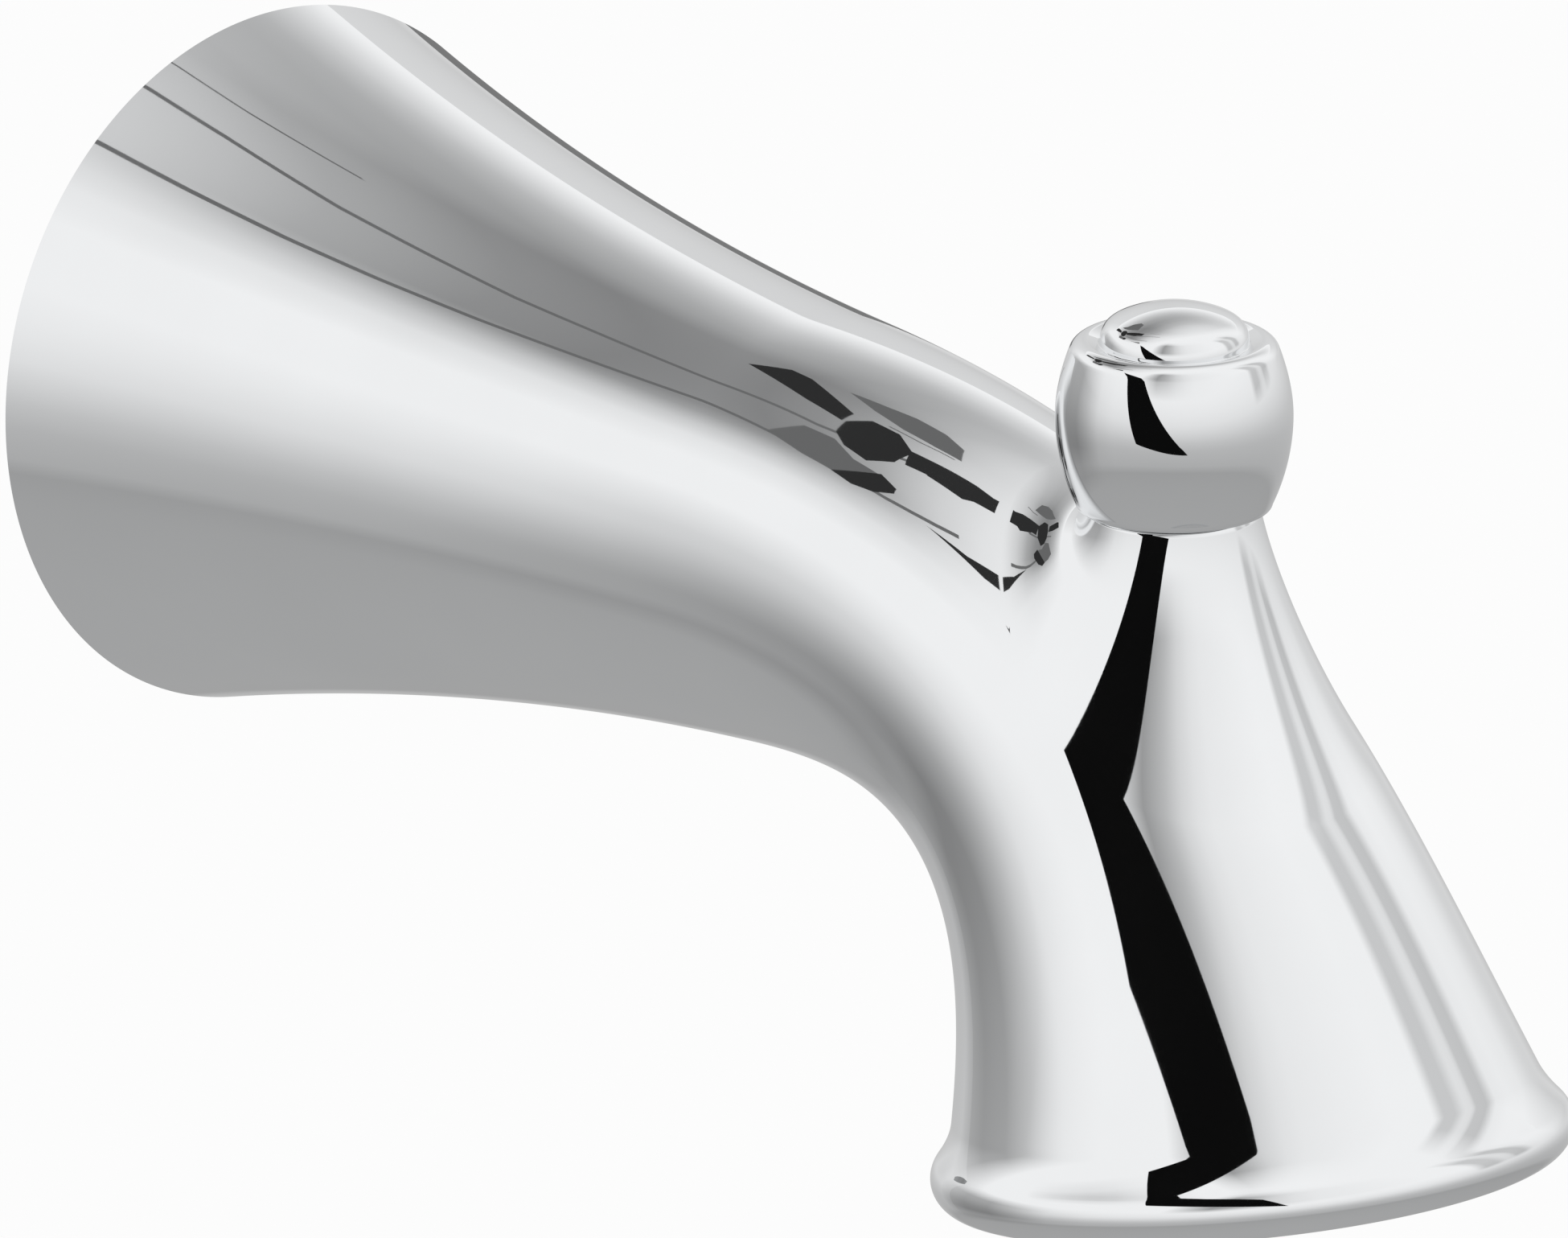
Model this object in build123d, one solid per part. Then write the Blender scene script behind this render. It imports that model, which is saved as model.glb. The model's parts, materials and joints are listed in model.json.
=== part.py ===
from build123d import *
import os
from math import asin, cos, hypot, radians, sin, sqrt, tan

os.makedirs("parts", exist_ok=True)

# Bath spout with a pull-up diverter, in millimetres.
# The wall is the plane y = 0, the spout reaches along -Y, and +Z is up.
# A reach is a distance from the wall, and a height is measured from the axis of the wall pipe.

# Trumpet: radii at the wall, at the waist and at the throat where the elbow starts
flange_radius = 35.0
waist_reach = 40.0
waist_radius = 26.15
throat_reach = 79.3
throat_radius = 21.5

# Elbow: handles of the upper and the lower guide curve in the side view; leads count from the knob axis
crown_handle = 54.5
crown_pull_lead = 18.05
crown_pull_height = -5.6
elbow_handle = 26.3
elbow_pull_lead = -18.55
elbow_pull_height = -26.0

# Outlet: last round section of the leg, and the flared lip below it
outlet_lead = 10.35
outlet_drop = 42.7
outlet_tilt = 81.3
outlet_radius = 28.6
lip_flare_height = 3.6
lip_flare_angle = 41.0
lip_edge_radius = 3.0
mouth_widening = 0.7
mouth_edge = 0.7
wall = 2.8

# Neck that carries the diverter knob, and its oval foot on the elbow
knob_reach = 131.75
neck_height = 14.3
neck_radius = 8.4
neck_draft = 11.0
neck_top_ease = 0.25
neck_foot_ease = 0.31
foot_length = 19.1
foot_width = 17.1
foot_lead = 1.95
foot_inset = 0.35
foot_cross = 8.0

# Diverter knob
knob_gap = 0.3
knob_foot_radius = 9.6
knob_radius = 11.55
knob_belly_height = 23.7
knob_shoulder_height = 30.4
knob_shoulder_radius = 10.2
knob_ridge_radius = 8.5
knob_ridge_height = 31.4
button_radius = 6.95
button_groove_radius = 7.35
button_groove_height = 31.0
button_edge_height = 33.2
button_top_height = 35.3
button_edge = 0.7
button_swell = 0.1
knob_foot_lean = 25.0
knob_shoulder_lean = 20.0
knob_edge = 0.4
knob_recess_radius = 7.2
knob_recess_depth = 0.8
knob_socket_depth = 11.0

# Lift rod, its guide and its seal
rod_radius = 2.0
rod_tail = 3.0
running_gap = 0.3
snug_gap = 0.05
bushing_radius = 5.0
bushing_head_radius = 6.2
bushing_head_height = 1.6
bushing_foot_height = 3.8
stem_ring_height = 8.5
stem_ring_section = 1.8
stem_ring_gap = 0.1
groove_gap = 0.2

# Diverter gate, its travel and its port
gate_travel = 11.0
gate_width = 14.0
gate_height = 12.0
gate_thickness = 2.4
gate_set_back = 1.65
gate_hub_radius = 3.6
gate_hub_overhang = 0.5
seal_radius = 5.4
seal_thickness = 1.2
seal_stand = 0.4
port_radius = 4.6
port_drop = 10.91
rod_collar_radius = 3.4
rod_collar_height = 1.6
rod_nut_width = 7.0
rod_nut_height = 3.2

# Diverter housing: plug in the throat, nose, front plate and gate rails
seat_reach = 76.0
seat_length = 10.0
seat_bore = 14.5
plug_gap = 0.1
plug_flange_length = 3.0
plug_flange_gap = 0.7
nose_radius = 7.4
nose_wall = 1.8
nose_taper_length = 12.0
sleeve_length = 6.0
sleeve_wall = 1.6
plate_thickness = 2.0
plate_margin = 0.8
rail_width = 2.3
rail_lip = 1.2
rail_overlap = 1.2
housing_ring_section = 2.0
housing_ring_set = 5.5
housing_screw_radius = 1.1
housing_screw_grip = 7.0
housing_screw_head_radius = 1.75
housing_screw_head_height = 1.6
screw_slot_share = 0.6

# Inlet tube and its seal in the housing
tube_radius = 9.8
tube_wall = 2.4
tube_ring_section = 1.6
tube_ring_set = 3.0
tube_end_gap = 0.4
tube_insert = 11.0

# Inlet collar on the copper pipe
pipe_radius = 7.94
collar_bore = 8.1
collar_radius = 11.0
collar_start = 0.0
socket_depth = 42.0
collar_floor = 2.0
collar_edge = 0.6
collar_shoulder_radius = 13.5
collar_shoulder_length = 2.5
spigot_length = 8.0
spigot_bore = 5.6
inlet_ring_section = 1.8
inlet_ring_rear = 30.0
inlet_ring_front = 37.0

# Set screw below the collar
set_screw_reach = 16.0
set_screw_radius = 3.0
set_screw_length = 8.0
set_screw_boss_radius = 5.5
set_screw_boss_wall = 0.6
set_screw_set_back = 0.2
set_screw_key = 3.0
set_screw_key_depth = 3.5
key_hole_radius = 3.6

# Bracket that centres the collar in the flange, its screws and the wall gasket
bracket_start = 3.0
bracket_thickness = 3.0
bracket_gap = 0.4
bracket_hub_radius = 14.5
bracket_arm_width = 9.0
bracket_arms = 3
bracket_first_arm = 90.0
bracket_corner = 2.0
screw_head_gap = 0.3
bracket_screw_radius = 1.9
bracket_screw_length = 10.0
bracket_screw_head_radius = 3.4
bracket_screw_head_height = 1.9
boss_radius = 4.0
boss_length = 24.0
boss_rib = 2.4
gasket_width = 3.2

# Lines and sections of the casting


def at(reach, height, side=0.0):
    return Vector(side, -reach, height)


def trumpet_radius(reach):
    # Parabola through the flange, the waist and the throat
    rise = (waist_radius - flange_radius) / waist_reach
    bend = (throat_radius - flange_radius) / throat_reach - rise
    bend = bend / (throat_reach - waist_reach)
    return flange_radius + reach * (rise + bend * (reach - waist_reach))


def cubic(points, t):
    weights = ((1 - t) ** 3, 3 * (1 - t) ** 2 * t, 3 * (1 - t) * t**2, t**3)
    return tuple(sum(w * p[k] for w, p in zip(weights, points)) for k in (0, 1))


def combine(point, *steps):
    # A point in the side view moved by several (direction, length) steps
    reach = point[0] + sum(d[0] * n for d, n in steps)
    height = point[1] + sum(d[1] * n for d, n in steps)
    return (reach, height)


outlet_up = (sin(radians(outlet_tilt)), cos(radians(outlet_tilt)))
outlet_run = (cos(radians(outlet_tilt)), -sin(radians(outlet_tilt)))
outlet_centre = (knob_reach + outlet_lead, -outlet_drop)
throat_step = 0.5
throat_slope = (throat_radius - trumpet_radius(throat_reach - throat_step)) / throat_step

crown_guide = (
    (throat_reach, throat_radius),
    (throat_reach + crown_handle, throat_radius + throat_slope * crown_handle),
    (knob_reach + crown_pull_lead, crown_pull_height),
    combine(outlet_centre, (outlet_up, outlet_radius)),
)
elbow_guide = (
    (throat_reach, -throat_radius),
    (throat_reach + elbow_handle, -throat_radius - throat_slope * elbow_handle),
    (knob_reach + elbow_pull_lead, elbow_pull_height),
    combine(outlet_centre, (outlet_up, -outlet_radius)),
)


def inset_pair(top, bottom, inset):
    # Both ends of a section moved towards its centre
    span = hypot(top[0] - bottom[0], top[1] - bottom[1])
    inward = ((bottom[0] - top[0]) / span, (bottom[1] - top[1]) / span)
    return combine(top, (inward, inset)), combine(bottom, (inward, -inset))


def outlet_pair(depth, radius, shift=0.0):
    # Ends of a round section at some depth below the outlet
    centre = combine(outlet_centre, (outlet_run, depth), (outlet_up, shift))
    return combine(centre, (outlet_up, radius)), combine(centre, (outlet_up, -radius))


def casting_pairs(start, inset):
    trumpet_count = 6
    elbow_count = 8
    pairs = []
    for i in range(trumpet_count):
        reach = start + (throat_reach - start) * i / trumpet_count
        radius = trumpet_radius(reach) - inset
        pairs.append(((reach, radius), (reach, -radius)))
    for i in range(elbow_count + 1):
        t = i / elbow_count
        pairs.append(inset_pair(cubic(crown_guide, t), cubic(elbow_guide, t), inset))
    return pairs


def half_round(top, bottom, hand):
    # Half of a round section, from its upper to its lower end
    centre = ((top[0] + bottom[0]) / 2, (top[1] + bottom[1]) / 2)
    radius = hypot(top[0] - bottom[0], top[1] - bottom[1]) / 2
    return ThreePointArc(at(*top), at(*centre, hand * radius), at(*bottom))


def skinned(stages):
    # Solid through round sections, in stages that each run smoothly
    faces = []
    for hand in (1, -1):
        for stage in stages:
            wires = [Wire([half_round(top, bottom, hand)]) for top, bottom in stage]
            faces += Shell.make_loft(wires).faces()
    for top, bottom in (stages[0][0], stages[-1][-1]):
        faces.append(Face(Wire([half_round(top, bottom, 1), half_round(top, bottom, -1)])))
    return Solid(Shell(faces))


# Lip: flare that leaves the leg smoothly, and a rolled edge


def end_slope(guide, side):
    # Outward slope of a guide curve where it meets the outlet
    step = (guide[3][0] - guide[2][0], guide[3][1] - guide[2][1])
    along = step[0] * outlet_run[0] + step[1] * outlet_run[1]
    across = step[0] * outlet_up[0] + step[1] * outlet_up[1]
    return side * across / along


edge_slope = tan(radians(lip_flare_angle))
leg_slopes = (end_slope(crown_guide, 1), end_slope(elbow_guide, -1))


def flare_pair(depth):
    bow = depth**2 / (2 * lip_flare_height)
    upper, lower = (slope * depth + (edge_slope - slope) * bow for slope in leg_slopes)
    return outlet_pair(depth, outlet_radius + (upper + lower) / 2, (upper - lower) / 2)


def flare_pairs():
    count = 4
    return [flare_pair(lip_flare_height * i / count) for i in range(count + 1)]


flare_spread = lip_flare_height * (edge_slope + (leg_slopes[0] + leg_slopes[1]) / 2) / 2
flare_shift = lip_flare_height * (leg_slopes[0] - leg_slopes[1]) / 4
lip_belly = outlet_radius + flare_spread - lip_edge_radius * cos(radians(lip_flare_angle))
lip_level = lip_flare_height + lip_edge_radius * sin(radians(lip_flare_angle))
lip_foot = lip_level + lip_edge_radius


def roll_pairs():
    count = 6
    pairs = []
    for i in range(count + 1):
        turn = radians(-lip_flare_angle + (90 + lip_flare_angle) * i / count)
        depth = lip_level + lip_edge_radius * sin(turn)
        pairs.append(outlet_pair(depth, lip_belly + lip_edge_radius * cos(turn), flare_shift))
    return pairs


def cavity_solid():
    # Inside of the casting, open at the wall and a little wider at the mouth
    past = 1.0
    radius = outlet_radius - wall + mouth_widening
    pairs = casting_pairs(-past, wall) + [outlet_pair(lip_foot + past, radius, flare_shift)]
    rim = [
        outlet_pair(lip_foot - mouth_edge, radius - mouth_edge, flare_shift),
        outlet_pair(lip_foot + past, radius + past, flare_shift),
    ]
    return skinned([pairs]) + skinned([rim])


# Neck: a flare from the round top to an oval foot that runs out on the elbow


def roof_height(side, reach):
    # Height of the elbow's upper skin over a point of the plan
    low = 0.0
    high = 1.0
    for _ in range(40):
        t = (low + high) / 2
        top = cubic(crown_guide, t)
        bottom = cubic(elbow_guide, t)
        half = ((top[0] - bottom[0]) / 2, (top[1] - bottom[1]) / 2)
        radius = hypot(*half)
        share = sqrt(max(radius**2 - side**2, 0.0)) / radius
        if (top[0] + bottom[0]) / 2 + half[0] * share < reach:
            low = t
        else:
            high = t
    return (top[1] + bottom[1]) / 2 + half[1] * share


def foot_radius(angle):
    # Distance from the knob axis to the oval foot, in the plan
    c = cos(angle)
    s = sin(angle)
    square = (c / foot_width) ** 2 + (s / foot_length) ** 2
    cross = foot_lead * s / foot_length**2
    rest = 1 - (foot_lead / foot_length) ** 2
    return (cross + sqrt(cross**2 + square * rest)) / square


def skin_at(radius, angle):
    return roof_height(radius * cos(angle), knob_reach + radius * sin(angle))


def neck_profile(angle):
    # Four control points (radius, height) of the flare in one half-plane through the knob axis
    step = 0.3
    radius = foot_radius(angle)
    slope = (skin_at(radius + step, angle) - skin_at(radius - step, angle)) / (2 * step)
    slope = (slope - tan(radians(foot_cross))) / (1 + slope * tan(radians(foot_cross)))
    foot = (radius, skin_at(radius, angle) - foot_inset)
    top = (neck_radius, neck_height)
    chord = hypot(foot[0] - top[0], foot[1] - top[1])
    draft = (sin(radians(neck_draft)), -cos(radians(neck_draft)))
    lean = (1 / hypot(1, slope), slope / hypot(1, slope))
    return (
        top,
        combine(top, (draft, neck_top_ease * chord)),
        combine(foot, (lean, -neck_foot_ease * chord)),
        foot,
    )


def neck_solid():
    spokes = 16
    rings = 8
    angles = [radians(90 - 180 * k / spokes) for k in range(spokes + 1)]
    profiles = [neck_profile(angle) for angle in angles]
    core_height = roof_height(0, knob_reach) - throat_radius / 2
    core = Vertex(*at(knob_reach + foot_lead, core_height))
    faces = []
    rim = []
    for hand in (-1, 1):
        wires = []
        for i in range(rings + 1):
            points = []
            for angle, profile in zip(angles, profiles):
                radius, height = cubic(profile, i / rings)
                side = hand * radius * cos(angle)
                points.append(at(knob_reach + radius * sin(angle), height, side))
            wires.append(Wire([Spline(*points, tangents=[(hand, 0, 0), (-hand, 0, 0)])]))
        faces += Shell.make_loft(wires).faces()
        faces += Shell.make_loft([wires[-1], core], ruled=True).faces()
        rim.append(wires[0].edges()[0])
    faces.append(Face(Wire(rim)))
    return Solid(Shell(faces))


# Plain turned and drilled shapes


def pole(radius, start, end, side=0.0, height=0.0):
    # Round bar along the reach
    plane = Plane(origin=at(start, height, side), x_dir=(1, 0, 0), z_dir=(0, -1, 0))
    return extrude(plane * Circle(radius), end - start)


def post(radius, bottom, top, reach=knob_reach, side=0.0):
    # Upright round bar
    return extrude(Plane(origin=at(reach, bottom, side)) * Circle(radius), top - bottom)


def block(width, start, end, bottom, top, side=0.0):
    # Square bar, centred on its side position
    size = (width, end - start, top - bottom)
    return Pos(*at((start + end) / 2, (bottom + top) / 2, side)) * Box(*size)


def turned(points):
    # Ring or bar about the pipe axis from (radius, reach) points
    plane = Plane(origin=(0, 0, 0), x_dir=(1, 0, 0), z_dir=(0, 0, -1))
    return revolve(plane * make_face(Polyline(*points, close=True)), Axis.Y)


def pipe_ring(section, inner_radius, reach):
    # Rubber ring about the pipe axis
    return Pos(0, -reach, 0) * Rot(90, 0, 0) * Torus(inner_radius + section / 2, section / 2)


def spread_places(count, radius, first):
    # Places (side, height) round the pipe axis
    turns = [radians(first + 360 * k / count) for k in range(count)]
    return [(radius * cos(turn), radius * sin(turn)) for turn in turns]


# Levels and fits that follow from the sizes above
bracket_end = bracket_start + bracket_thickness
bracket_radius = trumpet_radius(bracket_end) - wall - bracket_gap
gasket_bore = bracket_radius - gasket_width
bracket_screw_circle = gasket_bore - screw_head_gap - bracket_screw_head_radius
screw_places = spread_places(bracket_arms, bracket_screw_circle, bracket_first_arm)
seat_end = seat_reach + seat_length
housing_start = seat_reach - plug_flange_length
housing_ring_reach = seat_reach + housing_ring_set
nose_start = seat_end + nose_taper_length
housing_screw_circle = (seat_bore + trumpet_radius(seat_reach) - wall) / 2
plug_radius = seat_bore - plug_gap
collar_end = collar_start + socket_depth + collar_floor
tube_bore = tube_radius - tube_wall
tube_end = housing_start + tube_insert
tube_ring_reach = housing_start + tube_ring_set
set_screw_tip = -collar_bore - set_screw_set_back
set_screw_foot = set_screw_tip - set_screw_length
knob_base = neck_height + knob_gap
rod_top = knob_base + knob_recess_depth + knob_socket_depth - knob_gap
gate_end = knob_reach - gate_set_back
gate_start = gate_end - gate_thickness
guide_width = gate_width + 2 * (running_gap + rail_width)
guide_lip_end = gate_end + running_gap + rail_lip
port_height = roof_height(guide_width / 2, guide_lip_end) - port_drop
gate_rest = port_height - gate_travel
plate_end = gate_start - seal_stand - running_gap
plate_start = plate_end - plate_thickness
hub_top = gate_rest + gate_height / 2 + gate_hub_overhang
hub_bottom = gate_rest - gate_height / 2 - gate_hub_overhang


def spout_body():
    outer = skinned([casting_pairs(0, 0), flare_pairs(), roll_pairs()]) + neck_solid()
    cavity = cavity_solid()
    rib_length = flange_radius - bracket_screw_circle
    for k, (side, height) in enumerate(screw_places):
        cavity -= pole(boss_radius, bracket_end, bracket_end + boss_length, side, height)
        rib = block(rib_length, bracket_end, bracket_end + boss_length, -boss_rib / 2, boss_rib / 2)
        rib = Pos(bracket_screw_circle + rib_length / 2, 0, 0) * rib
        cavity -= Rot(0, -bracket_first_arm - 360 * k / bracket_arms, 0) * rib
    seat = pole(flange_radius, seat_reach, seat_end) - pole(seat_bore, seat_reach, seat_end)
    cavity -= seat
    body = outer - cavity
    for side, height in screw_places:
        drill = bracket_screw_radius + snug_gap
        body -= pole(drill, bracket_end, bracket_start + bracket_screw_length + drill, side, height)
    for side in (-housing_screw_circle, housing_screw_circle):
        body -= pole(housing_screw_radius + snug_gap, seat_reach, seat_end - wall / 2, side)
    body -= post(bushing_radius + snug_gap, -neck_height, neck_height)
    head_seat = neck_height - bushing_head_height
    body -= post(bushing_head_radius + snug_gap, head_seat, knob_base)
    body -= post(key_hole_radius, -flange_radius, -waist_radius + wall, set_screw_reach)
    return body


def diverter_knob():
    lean_in = (sin(radians(knob_foot_lean)), cos(radians(knob_foot_lean)))
    lean_out = (-sin(radians(knob_shoulder_lean)), cos(radians(knob_shoulder_lean)))
    edge = knob_edge * (1 - sqrt(0.5))
    foot = (knob_foot_radius, knob_base + knob_edge)
    foot_inner = (knob_foot_radius - knob_edge, knob_base)
    foot_middle = (knob_foot_radius - edge, knob_base + edge)
    belly = (knob_radius, knob_belly_height)
    shoulder = (knob_shoulder_radius, knob_shoulder_height)
    ridge = (knob_ridge_radius, knob_ridge_height)
    roll = (
        knob_shoulder_radius + (knob_ridge_radius - knob_shoulder_radius) * 0.4,
        knob_shoulder_height + (knob_ridge_height - knob_shoulder_height) * 0.8,
    )
    groove = (button_groove_radius, button_groove_height)
    button = (button_radius, button_edge_height)
    bulge_radius = (button_groove_radius + button_radius) / 2 + button_swell
    bulge = (bulge_radius, (button_groove_height + button_edge_height) / 2)
    cap = (button_radius - button_edge, button_edge_height + button_edge)
    cap_middle = (
        button_radius - button_edge * (1 - sqrt(0.5)),
        button_edge_height + button_edge * sqrt(0.5),
    )
    peak = (0, button_top_height)
    rise = button_top_height - cap[1]
    dome = (cap[0] ** 2 + rise**2) / (2 * rise)
    half_turn = asin(cap[0] / dome) / 2
    peak_middle = (dome * sin(half_turn), button_top_height - dome * (1 - cos(half_turn)))
    recess = knob_base + knob_recess_depth
    roof = (knob_recess_radius, recess)
    outline = [
        Polyline(peak, (0, recess), roof, (knob_recess_radius, knob_base), foot_inner),
        ThreePointArc(foot_inner, foot_middle, foot),
        Spline(foot, belly, shoulder, tangents=[lean_in, lean_out]),
        ThreePointArc(shoulder, roll, ridge),
        Line(ridge, groove),
        ThreePointArc(groove, bulge, button),
        ThreePointArc(button, cap_middle, cap),
        ThreePointArc(cap, peak_middle, peak),
    ]
    plane = Plane(origin=at(knob_reach, 0), x_dir=(1, 0, 0), z_dir=(0, -1, 0))
    knob = revolve(plane * make_face(outline), Axis(at(knob_reach, 0), (0, 0, 1)))
    return knob - post(rod_radius + snug_gap, knob_base, recess + knob_socket_depth)


def lift_rod():
    return post(rod_radius, hub_bottom - rod_nut_height - rod_tail, rod_top)


def stem_bushing():
    bushing = post(bushing_radius, bushing_foot_height, neck_height)
    bushing += post(bushing_head_radius, neck_height - bushing_head_height, neck_height)
    bushing -= post(rod_radius + running_gap, bushing_foot_height, neck_height)
    half = stem_ring_section / 2 + groove_gap
    groove = rod_radius + stem_ring_gap + stem_ring_section + snug_gap
    return bushing - post(groove, stem_ring_height - half, stem_ring_height + half)


def stem_o_ring():
    middle = rod_radius + stem_ring_gap + stem_ring_section / 2
    return Pos(*at(knob_reach, stem_ring_height)) * Torus(middle, stem_ring_section / 2)


def diverter_gate():
    low = gate_rest - gate_height / 2
    gate = block(gate_width, gate_start, gate_end, low, low + gate_height)
    gate += post(gate_hub_radius, hub_bottom, hub_top)
    pocket_end = gate_start + seal_thickness - seal_stand
    gate -= pole(seal_radius + snug_gap, gate_start - gate_thickness, pocket_end, 0, gate_rest)
    return gate - post(rod_radius + snug_gap, hub_bottom, hub_top)


def gate_seal():
    start = gate_start - seal_stand
    return pole(seal_radius, start, start + seal_thickness, 0, gate_rest)


def rod_collar():
    top = hub_top + rod_collar_height
    return post(rod_collar_radius, hub_top, top) - post(rod_radius + snug_gap, hub_top, top)


def rod_nut():
    plane = Plane(origin=at(knob_reach, hub_bottom - rod_nut_height))
    nut = plane * RegularPolygon(rod_nut_width / 2, 6, major_radius=False)
    return extrude(nut, rod_nut_height) - post(rod_radius + snug_gap, -flange_radius, hub_bottom)


def diverter_housing():
    flange_edge = trumpet_radius(housing_start) - wall - plug_flange_gap
    housing = pole(flange_edge, housing_start, seat_reach)
    housing += pole(plug_radius, housing_start, seat_end)
    across = Plane(origin=at(seat_end, 0), x_dir=(1, 0, 0), z_dir=(0, -1, 0))
    nose_plane = Plane(origin=at(nose_start, port_height), x_dir=(1, 0, 0), z_dir=(0, -1, 0))
    housing += loft([across * Circle(plug_radius), nose_plane * Circle(nose_radius)], ruled=True)
    housing += pole(nose_radius, nose_start, plate_start, 0, port_height)
    inner = nose_radius - nose_wall
    socket = tube_radius + plug_gap
    housing -= pole(socket, housing_start, tube_end + tube_end_gap)
    channel = Plane(origin=at(tube_end + tube_end_gap, 0), x_dir=(1, 0, 0), z_dir=(0, -1, 0))
    housing -= loft([channel * Circle(tube_bore), nose_plane * Circle(inner)], ruled=True)
    housing -= pole(inner, nose_start, plate_start, 0, port_height)
    half = housing_ring_section / 2 + groove_gap
    floor = seat_bore - housing_ring_section - snug_gap
    start = housing_ring_reach - half
    groove = pole(seat_bore, start, start + 2 * half) - pole(floor, start, start + 2 * half)
    housing -= groove
    half = tube_ring_section / 2 + groove_gap
    floor = tube_radius + tube_ring_section + snug_gap
    housing -= pole(floor, tube_ring_reach - half, tube_ring_reach + half)
    for side in (-housing_screw_circle, housing_screw_circle):
        housing -= pole(housing_screw_radius + snug_gap, housing_start, seat_reach, side)
    return housing


def gate_guide():
    low = gate_rest - gate_height / 2 - plate_margin
    high = port_height + gate_height / 2 + plate_margin
    width = guide_width
    lip_end = guide_lip_end
    lip_start = lip_end - rail_lip
    guide = block(width, plate_start, plate_end, low, high)
    lip_width = rail_width + running_gap + rail_overlap
    for hand in (-1, 1):
        middle = hand * (width - rail_width) / 2
        guide += block(rail_width, plate_end, lip_end, low, high, middle)
        guide += block(lip_width, lip_start, lip_end, low, high, hand * (width - lip_width) / 2)
    sleeve_bore = nose_radius + snug_gap
    sleeve_start = plate_start - sleeve_length
    guide += pole(sleeve_bore + sleeve_wall, sleeve_start, plate_start, 0, port_height)
    guide -= pole(sleeve_bore, sleeve_start, plate_start, 0, port_height)
    return guide - pole(port_radius, plate_start, plate_end, 0, port_height)


def housing_o_ring():
    return pipe_ring(housing_ring_section, seat_bore - housing_ring_section, housing_ring_reach)


def screw(head_radius, head_height, shank_radius, length, start, side, height):
    # Round-headed screw along the reach with a crossed recess; its head ends where the shank starts
    head = pole(head_radius, start - head_height, start, side, height)
    shank = pole(shank_radius, start, start + length - shank_radius, side, height)
    plane = Plane(origin=at(start + length, height, side), x_dir=(1, 0, 0), z_dir=(0, 1, 0))
    tip = loft([plane * Circle(shank_radius / 4), plane.offset(shank_radius) * Circle(shank_radius)])
    slot = head_radius * screw_slot_share
    depth = head_height * screw_slot_share
    cross = block(2 * slot, start - head_height, start - head_height + depth, -slot / 4, slot / 4)
    cross += Rot(0, 90, 0) * cross
    return head + shank + tip - Pos(side, 0, height) * cross


def housing_screws():
    sizes = (housing_screw_head_radius, housing_screw_head_height, housing_screw_radius)
    places = (-housing_screw_circle, housing_screw_circle)
    length = plug_flange_length + housing_screw_grip
    return Compound([screw(*sizes, length, housing_start, side, 0).solid() for side in places])


def bracket_screws():
    sizes = (bracket_screw_head_radius, bracket_screw_head_height, bracket_screw_radius)
    length = bracket_screw_length
    solids = [screw(*sizes, length, bracket_start, *place).solid() for place in screw_places]
    return Compound(solids)


def inlet_tube():
    return pole(tube_radius, collar_end, tube_end) - pole(tube_bore, collar_end, tube_end)


def tube_o_ring():
    return pipe_ring(tube_ring_section, tube_radius, tube_ring_reach)


def inlet_collar():
    spigot = tube_bore - snug_gap
    spigot_end = collar_end + spigot_length
    shoulder_end = bracket_end + collar_shoulder_length
    outline = [
        (collar_bore, collar_start),
        (collar_radius, collar_start),
        (collar_radius, bracket_end),
        (collar_shoulder_radius, bracket_end),
        (collar_shoulder_radius, shoulder_end - collar_edge),
        (collar_shoulder_radius - collar_edge, shoulder_end),
        (collar_radius, shoulder_end),
        (collar_radius, collar_end),
        (spigot, collar_end),
        (spigot, spigot_end - collar_edge),
        (spigot - collar_edge, spigot_end),
        (spigot_bore, spigot_end),
        (spigot_bore, collar_start + socket_depth),
        (collar_bore, collar_start + socket_depth),
    ]
    collar = turned(outline)
    boss_foot = set_screw_foot - set_screw_boss_wall
    boss = post(set_screw_boss_radius, boss_foot, -collar_bore, set_screw_reach)
    collar += boss - pole(collar_bore, collar_start, collar_end)
    collar -= post(set_screw_radius + snug_gap, boss_foot, 0, set_screw_reach)
    half = inlet_ring_section / 2 + groove_gap
    floor = pipe_radius + inlet_ring_section + snug_gap
    for reach in (inlet_ring_rear, inlet_ring_front):
        collar -= pole(floor, reach - half, reach + half)
    return collar


def set_screw():
    screw_body = post(set_screw_radius, set_screw_foot, set_screw_tip, set_screw_reach)
    plane = Plane(origin=at(set_screw_reach, set_screw_foot))
    key = plane * RegularPolygon(set_screw_key / 2, 6, major_radius=False)
    return screw_body - extrude(key, set_screw_key_depth)


def inlet_bracket():
    # Moulded spider: hub on the collar, rim behind the gasket, and an arm for each screw
    hub = pole(bracket_hub_radius, bracket_start, bracket_end)
    rim = pole(bracket_radius, bracket_start, bracket_end) - pole(gasket_bore, bracket_start, bracket_end)
    bracket = hub + rim
    half = bracket_arm_width / 2
    arm_length = (gasket_bore + bracket_radius) / 2
    arm = Pos(arm_length / 2, 0, 0) * block(arm_length, bracket_start, bracket_end, -half, half)
    for k in range(bracket_arms):
        bracket += Rot(0, -bracket_first_arm - 360 * k / bracket_arms, 0) * arm
    corners = bracket.edges().filter_by(Axis.Y).filter_by(GeomType.LINE)
    bracket = fillet(corners, bracket_corner)
    bracket -= pole(collar_radius + snug_gap, bracket_start, bracket_end)
    for place in screw_places:
        bracket -= pole(bracket_screw_radius + snug_gap, bracket_start, bracket_end, *place)
    return bracket


def wall_gasket():
    return pole(bracket_radius, 0, bracket_start) - pole(gasket_bore, 0, bracket_start)


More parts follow.
